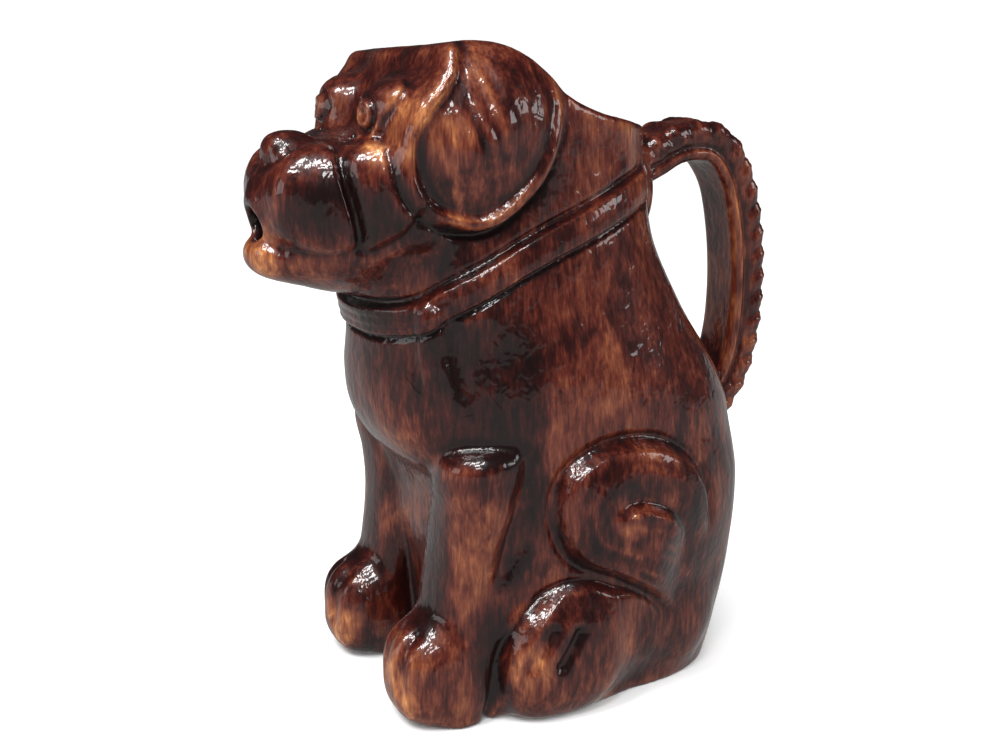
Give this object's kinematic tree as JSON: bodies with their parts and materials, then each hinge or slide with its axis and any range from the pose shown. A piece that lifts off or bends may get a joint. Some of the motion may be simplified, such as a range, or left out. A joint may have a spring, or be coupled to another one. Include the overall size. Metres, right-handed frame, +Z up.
{
  "type": "dog pitcher",
  "caption": "Hollow pottery jug shaped as a sitting dog: open head to fill, spout in its mouth, rope handle up its back.",
  "frame": {"origin": "middle of the box on the ground plane, under the jug", "axes": "+Z up; the dog faces -Y, so the handle is at +Y; +X is the dog's left side"},
  "size_m": [0.1356, 0.2108, 0.2361],
  "materials": {
    "brown_glaze": "deep treacle-brown glaze, glossy, mottled in fine downward streaks, amber where thin and nearly black where it pools"
  },
  "bodies": {
    "root": {"dog_pitcher": "brown_glaze"}
  },
  "joints": []
}
